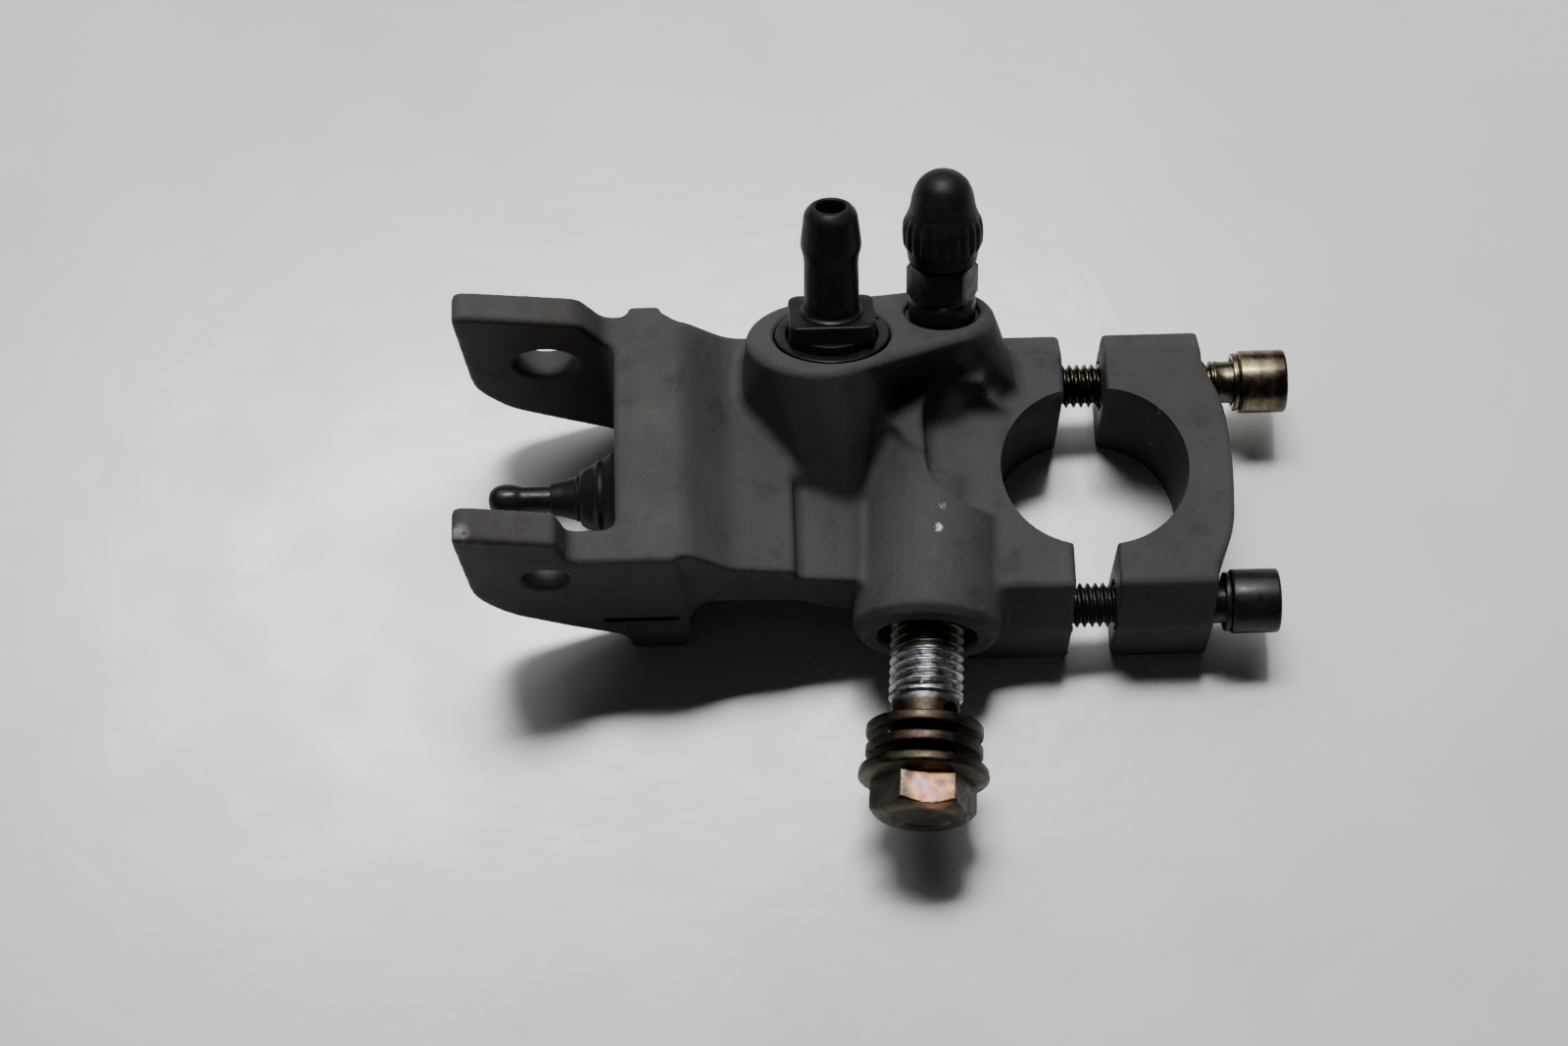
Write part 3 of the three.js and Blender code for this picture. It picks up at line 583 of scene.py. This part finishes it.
PAINT = paint_look("grey_paint", (0.068, 0.0665, 0.07), (0.1, 0.099, 0.104), BODY_STAINS_AND_GLINT)
CAP_PAINT = paint_look("warm_grey_paint", (0.065, 0.0615, 0.06), (0.1, 0.095, 0.092), ())
YELLOW_ZINC = metal_look("yellow_zinc_plate", (0.27, 0.23, 0.14), (0.15, 0.125, 0.08), 0.28,
                         scratch=(12, 1, 1), extra=dark_shank)
BLACK_STEEL = metal_look("black_oxide_steel", (0.02, 0.02, 0.022), (0.03, 0.029, 0.029), 0.36, 0.7)
OLIVE_ZINC = metal_look("aged_olive_zinc", (0.075, 0.062, 0.042), (0.04, 0.033, 0.025), 0.42,
                        extra=shiny_thread_with_mouth_shade)
COPPER = metal_look("used_copper", (0.07, 0.05, 0.036), (0.04, 0.03, 0.023), 0.46)
SPRING_STEEL = metal_look("spring_steel", (0.45, 0.45, 0.46), (0.3, 0.29, 0.28), 0.28)
ANODISED = metal_look("hard_anodised", (0.2, 0.21, 0.23), (0.15, 0.155, 0.17), 0.4, 0.9)
PLASTIC = moulded_look("black_plastic", (0.007, 0.007, 0.0075), 0.42, 0.3, 0.03, 0.1)
RUBBER = moulded_look("black_rubber", (0.008, 0.008, 0.0082), 0.46, 0.22, 0.04, 0.15)


# ---- fasteners ----------------------------------------------------------------------------------
def chamfered_hexagon(across_flats, low, high, turn=0.0):
    """Rings of a hexagonal head whose corners are rounded off at the outer end."""
    flats = hexagon(across_flats, turn)
    corner = across_flats / 2 / math.cos(math.pi / 6)
    run = corner - across_flats / 2 * 0.9
    rise = run * 0.75
    rings = [(low, flats), (high - rise, flats)]
    for step in range(1, 11):
        t = step / 10
        limit = corner - run * t ** 1.6
        rounded = lambda angles, limit=limit: np.minimum(flats(angles), limit)
        rings.append((high - rise * (1 - t), rounded))
    return rings


def clamp_bolt(side, y, head_x):
    """Socket-head bolt with its thread."""
    length = 28
    head = 6.4
    axis = Axis((head_x, y, BOLT_Z), X)
    profile = [(-length, 2.2), (-length + 0.5, 2.6)]
    profile += thread(-length + 0.6, -3, 2.95, 0.6, 1.0)
    profile += [(-2.4, 2.8), (-0.4, 2.85), (0, 3.1)]
    profile += soften([(0, 3.1), (0, 4.25), (head, 4.25), (head, 2.9)], 0.45, 4)[1:]
    socket = hexagon(5.0)
    profile += [(head - 0.02, lambda angles: np.maximum(socket(angles), 2.86))]
    profile += [(head - 0.4, socket), (head - 3.2, socket), (head - 4.1, 0.4)]
    return new_object(f"clamp_bolt_{side}_threaded", *revolve(profile, axis, 72))


def plain_washer(name, axis, low, high, inner, outer, soft=0.2):
    profile = soften([(low, inner), (low, outer), (high, outer), (high, inner)], soft, 3, closed=True)
    return new_object(name, *revolve(profile, axis, 72, closed=True))


def outlet_bolt():
    low = FLANGE - OUTLET_BOLT_LENGTH
    profile = [(low, 3.2), (low + 0.3, 3.9)]
    profile += thread(low + 0.5, FLANGE - 9.4, 4.82, 0.72, 1.25)
    profile += [(FLANGE - 9.1, 4.35), (FLANGE - 8.7, 4.48), (FLANGE - 0.3, 4.5)]
    profile += soften([(FLANGE - 0.3, 4.5), (FLANGE, 4.8), (FLANGE, 8.3), (FLANGE + 1.5, 8.55),
                       (FLANGE + 2.1, 6.9)], 0.5, 4)[1:]
    profile += chamfered_hexagon(12, FLANGE + 2.15, FLANGE + 6.67, math.radians(52))
    profile += [(FLANGE + 6.67, 3.9), (FLANGE + 6.4, 3.6)]
    piece = new_object("outlet_bolt_threaded", *revolve(profile, OUTLET, 96))
    bore = cylinder(1.6, low - 1, FLANGE - 4, OUTLET, 32)
    middle = Vector(OUTLET.place([(0, 0, FLANGE - 6.5)])[0])
    cross = cylinder(1.55, -6, 6, Axis(middle, (0.75, 0, 0.66)), 32)
    return boolean(piece, [cutter(bore), cutter(cross)])


# ---- top fittings -------------------------------------------------------------------------------
def hose_barb():
    profile = soften([
        (17.4, 1.9), (17.4, 4.6), (18.8, 4.9), (18.8, 3.9), (20.6, 3.9), (20.6, 4.9), (22.6, 4.9),
        (22.6, 6.9), (23.3, 6.9), (23.3, 5.3), (25.4, 5.3), (25.4, 4.1), (28, 4.1, 0.1), (28.3, 3.6, 0.3),
        (35, 3.5, 1), (36.2, 3.62, 1), (37.4, 3.92, 0.4), (38.1, 3.9, 0.5), (42, 3.42, 0.8),
        (42.9, 2.6, 0.5), (42.9, 1.95, 0.2), (42.2, 1.9),
    ], 0.2, 4, closed=True)
    stem = new_object("hose_connector_moulded", *revolve(profile, HOSE, 72, closed=True))
    corners = [(-5.6, -4.5, 1.6), (5.6, -4.5, 1.6), (5.6, 4.5, 1.6), (-5.6, 4.5, 1.6)]
    plate = outline_prism(corners, 24.8, 27.8)
    plate_piece = new_object("plate", HOSE.place(plate[0]), plate[1])
    bevel = plate_piece.modifiers.new("bevel", "BEVEL")
    bevel.width = 0.35 * MM
    bevel.segments = 3
    bevel.limit_method = "ANGLE"
    apply_modifiers(plate_piece)
    boolean(stem, [plate_piece], "UNION")
    return boolean(stem, [cutter(cylinder(1.9, 16, 44, HOSE, 48))])


def retaining_ring(name, axis, inner, outer, low, high, gap, turn, lug_radius, lug_middle):
    """An open ring with a rounded section, and an eyed lug at each end of its gap."""
    span = np.linspace(gap / 2, 2 * math.pi - gap / 2, 97) + turn
    middle = (inner + outer) / 2
    level = (low + high) / 2
    path = axis.place(np.stack([middle * np.cos(span), middle * np.sin(span), np.full(97, level)], 1))
    centre = axis.place([(0, 0, level)])[0]
    half = ((outer - inner) / 2, (high - low) / 2)
    corners = [(-half[0], -half[1]), (half[0], -half[1]), (half[0], half[1]), (-half[0], half[1])]
    section = np.array(soften(corners, 0.18, 3, closed=True))
    ring = new_object(name, *sweep(path, path - centre, section))
    lugs = []
    for end in (-1, 1):
        angle = turn + end * (gap / 2 + 0.06)
        post = Axis(axis.place([(lug_middle * math.cos(angle), lug_middle * math.sin(angle), level)])[0],
                    axis.direction)
        outline = [(-half[1], 0.32), (-half[1], lug_radius), (half[1], lug_radius), (half[1], 0.32)]
        profile = soften(outline, 0.15, 3, closed=True)
        lugs.append(new_object("lug", *revolve(profile, post, 32, closed=True)))
    return boolean(ring, lugs, "UNION")


def seal_ring():
    circle = circle_section(4.62, 72)
    loop = HOSE.place(np.column_stack([circle, np.full(len(circle), SEAL_HEIGHT)]))
    outwards = loop - HOSE.place([(0, 0, SEAL_HEIGHT)])[0]
    return new_object("connector_seal_ring", *sweep(loop, outwards, circle_section(0.58, 16), True))


def bleeder():
    """Bleed screw: thread, hexagon and nipple."""
    flats = hexagon(8.1)
    profile = [(14.6, 0.5), (16.6, 2.4)]
    profile += thread(17.0, PORT_FACE - 2.2, 3.3, 0.55, 1.0)
    profile += [(PORT_FACE - 1.8, 2.9), (PORT_FACE - 1.5, 3.2)]
    collar = [(PORT_FACE - 1.5, 3.2), (PORT_FACE - 1.2, 4.35), (26.4, 4.4), (26.9, 4.15)]
    profile += soften(collar, 0.25, 3)[1:]
    profile += [(27.0, lambda a: np.minimum(flats(a), 4.3)), (27.4, flats), (31.2, flats),
                (31.8, lambda a: np.minimum(flats(a), 4.2))]
    nipple = [(31.85, 3.5), (31.9, 3.1), (34.8, 3.1), (35.2, 2.6), (36.4, 2.6), (37, 3.1), (37.6, 3.1),
              (39, 2.3), (39, 1.1), (38.4, 1.0)]
    profile += soften(nipple, 0.2, 3)
    profile += [(23, 1.0)]
    return new_object("bleed_screw_threaded", *revolve(profile, BLEED, 96))


def bleeder_rubber():
    """Cap with a ribbed collar and a pointed dome."""
    ribs = 22

    def ribbed(radius, depth):
        return lambda angles: radius - depth * (0.5 + 0.5 * np.cos(ribs * angles)) ** 2

    profile = [(32.2, 3.5), (32.2, 4.2), (32.5, 4.5), (33.2, 4.62), (34.0, 4.72)]
    profile += [(34.5, ribbed(5.0, 0.1)), (35.0, ribbed(5.2, 0.3)), (36.2, ribbed(5.25, 0.34)),
                (37.4, ribbed(5.2, 0.34)), (38.0, ribbed(5.0, 0.25)), (38.5, ribbed(4.7, 0.08))]
    dome = [(38.9, 4.6), (39.4, 4.36, 0.4), (41.7, 3.95, 0.9), (43.3, 3.3, 0.9), (44.4, 2.0, 0.8),
            (44.8, 0.6, 0.4), (44.85, 0.05)]
    profile += soften(dome, 0.3, 5)
    inside = [(40.6, 0.05), (40.2, 1.4), (39.4, 2.8), (38.4, 3.4), (32.6, 3.4)]
    return new_object("bleeder_cap_moulded", *revolve(profile + inside, BLEED, 132, closed=True))


# ---- pushrod and boot ---------------------------------------------------------------------------
def rod():
    profile = soften([
        (-78.9, 0.1), (-78.7, 1.2, 0.5), (-77.8, 1.95, 0.5), (-76.6, 2.18, 0.5), (-75.4, 2.1, 0.4),
        (-74.4, 1.8, 0.4), (-55, 1.8), (-54.7, 3.4), (-53.7, 3.4), (-53.4, 2.4), (-51.6, 2.4, 0.6),
        (-50.6, 1.7, 0.5), (-50.2, 0.1),
    ], 0.2, 4)
    return new_object("pushrod_turned", *revolve(profile, PISTON, 56))


def boot():
    """Rubber boot: a lip on the rod, a step, a cone and a flange in the bore's mouth."""
    profile = soften([
        (-70.6, 1.85), (-70.6, 2.15), (-69, 2.4), (-67.2, 2.95), (-66.95, 3.2), (-66.7, 3.05),
        (-66.5, 3.7), (-65.9, 4.05), (-64.7, 4.5), (-64.2, 5.1), (-63.5, 5.1), (-62.3, 6.1), (-61.2, 6.7),
        (-60.9, 8.7),
        (-58.1, 8.7), (-58.1, 5.6), (-61.0, 5.3), (-64, 4.1), (-66, 2.9), (-68, 1.9),
    ], 0.35, 4, closed=True)
    return new_object("dust_boot_moulded", *revolve(profile, PISTON, 80, closed=True))


def spring():
    turns = 5.5
    count = 260
    t = np.linspace(0, 1, count)
    angle = t * turns * 2 * math.pi
    ends = 0.06
    eased = np.clip((t - ends) / (1 - 2 * ends), 0, 1)
    x = -30.2 + 13.2 * (0.08 * t + 0.92 * eased)
    path = np.stack([x, BARREL_Y + 5 * np.cos(angle), BARREL_Z + 5 * np.sin(angle)], 1)
    centre = np.stack([x, np.full(count, BARREL_Y), np.full(count, BARREL_Z)], 1)
    return new_object("return_spring_wire", *sweep(path, path - centre, circle_section(0.6, 14)))


# ---- assembly -----------------------------------------------------------------------------------
def build_pieces():
    finish_piece(body_casting(), "master", PAINT, "cast_body", "master_body")
    finish_piece(cap_casting(), "cap", CAP_PAINT, "clamp_cap", "clamp_cap")
    for side, y, head_x, look, slot in (
        ("upper", BOLT_Y, UPPER_HEAD_X, YELLOW_ZINC, "yellow_zinc"),
        ("lower", -BOLT_Y, LOWER_HEAD_X, BLACK_STEEL, "black_steel"),
    ):
        finish_piece(clamp_bolt(side, y, head_x), f"{side}_bolt", look, slot, f"clamp_bolt_{side}")
        seat = Axis((head_x, y, BOLT_Z), X)
        ring = plain_washer(f"bolt_washer_{side}_pressed", seat, -0.85, -0.05, 3.2, 3.9)
        finish_piece(ring, f"{side}_washer", look, slot, f"bolt_washer_{side}")
    finish_piece(outlet_bolt(), "outlet_bolt", OLIVE_ZINC, "olive_zinc", "banjo_bolt")
    for place, low, high in (("inner", 29.4, 30.9), ("outer", 32.1, 33.6)):
        ring = plain_washer(f"crush_washer_{place}_turned", OUTLET, low, high, 5.0, 7.6, 0.35)
        finish_piece(ring, f"{place}_washer", COPPER, "copper_washer", f"crush_washer_{place}")
    finish_piece(hose_barb(), "connector", PLASTIC, "black_plastic", "hose_connector")
    clip = retaining_ring("connector_circlip_formed", HOSE, 6.0, 7.4, 23.6, 24.5, 0.55, 0.75, 0.8, 6.7)
    finish_piece(clip, "master", BLACK_STEEL, "black_steel", "connector_circlip")
    finish_piece(seal_ring(), "connector", RUBBER, "black_rubber", "connector_seal")
    finish_piece(bleeder(), "bleeder", BLACK_STEEL, "black_steel", "bleed_screw")
    finish_piece(bleeder_rubber(), "bleeder_cap", RUBBER, "black_rubber", "bleeder_cap")
    finish_piece(rod(), "pushrod", BLACK_STEEL, "black_steel", "pushrod")
    rubber = finish_piece(boot(), "master", RUBBER, "black_rubber", "dust_boot")
    wire = finish_piece(spring(), "master", SPRING_STEEL, "bright_steel", "return_spring")
    clip = retaining_ring("rod_circlip_formed", PISTON, 6.4, 8.6, -56.6, -55.6, 0.7, 0, 1.2, 6.2)
    finish_piece(clip, "master", SPRING_STEEL, "bright_steel", "rod_circlip")
    disc = plain_washer("rod_washer_pressed", PISTON, -55.4, -55.1, 2.4, 7.7, 0.08)
    finish_piece(disc, "master", SPRING_STEEL, "bright_steel", "rod_washer")
    for node, look in (("piston", ANODISED), ("primary_cup", RUBBER), ("secondary_cup", RUBBER)):
        mesh = frame["nodes"][node].data
        mesh.materials.clear()
        mesh.materials.append(look)
    return rubber, wire


def soft_motion(rubber, wire):
    """Gives the boot and the spring their own copies of their meshes."""
    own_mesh(rubber)
    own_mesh(wire)


# ---- studio -------------------------------------------------------------------------------------
def floor():
    half = 0.9
    mesh = bpy.data.meshes.new("floor")
    level = -0.00004
    corners = [(-half, -half, level), (half, -half, level), (half, half, level), (-half, half, level)]
    mesh.from_pydata(corners, [], [(0, 1, 2, 3)])
    plane = bpy.data.objects.new("floor", mesh)
    bpy.context.scene.collection.objects.link(plane)
    look = Look("pale_floor")
    tone = look.ramp(look.noise(60, 3), 0.3, 0.7)
    look.set(Base_Color=look.mix(tone, (0.74, 0.74, 0.73), (0.79, 0.79, 0.78)))
    look.set(Roughness=look.ramp(look.noise(25, 4), 0.3, 0.7, 0.2, 0.3))
    look.set(Specular_IOR_Level=0.5)
    look.set(Normal=look.bump(look.noise(6, 2), 0.12, 0.3))
    plane.data.materials.append(look.material)


def area_light(name, place, target, size, power, colour, spread):
    light = bpy.data.lights.new(name, "AREA")
    light.spread = math.radians(spread)
    light.shape = "RECTANGLE"
    light.size, light.size_y = size
    light.energy = power
    light.color = colour
    lamp = bpy.data.objects.new(name, light)
    lamp.location = place
    lamp.rotation_euler = (Vector(target) - Vector(place)).to_track_quat("-Z", "Y").to_euler()
    bpy.context.scene.collection.objects.link(lamp)


def studio():
    world = bpy.data.worlds.new("soft_room")
    world.use_nodes = True
    background = world.node_tree.nodes["Background"]
    background.inputs["Color"].default_value = (0.86, 0.88, 0.92, 1)
    background.inputs["Strength"].default_value = 0.025
    bpy.context.scene.world = world
    area_light("back_softbox", (-0.1, 0.8, 0.95), (0, 0, 0), (1.4, 0.9), 3.0, (1.0, 0.985, 0.96), 90)
    area_light("top_softbox", (-0.08, 0.46, 1.15), (0, 0, 0), (0.5, 0.2), 1.5, (0.98, 0.985, 1.0), 60)
    floor()


def camera():
    azimuth = math.radians(-1.70)
    elevation = math.radians(67.40)
    roll = math.radians(0.04)
    focal_share = 3488 / 1600          # focal length over the picture's width
    sensor = 36.0
    place = Vector((-44.785, -177.87, 429.87))
    back = Vector((math.sin(azimuth) * math.cos(elevation), -math.cos(azimuth) * math.cos(elevation),
                   math.sin(elevation)))
    right = Vector((math.cos(azimuth), math.sin(azimuth), 0))
    up = back.cross(right)
    turn = Matrix((right, up, back)).transposed() @ Matrix.Rotation(roll, 3, "Z")
    lens = bpy.data.cameras.new("camera")
    lens.sensor_width = sensor
    lens.lens = sensor * focal_share
    lens.clip_start = 0.01
    viewer = bpy.data.objects.new("camera", lens)
    viewer.matrix_world = Matrix.Translation((place + ORIGIN) * MM) @ turn.to_4x4()
    bpy.context.scene.collection.objects.link(viewer)
    bpy.context.scene.camera = viewer


camera()
studio()
soft_motion(*build_pieces())
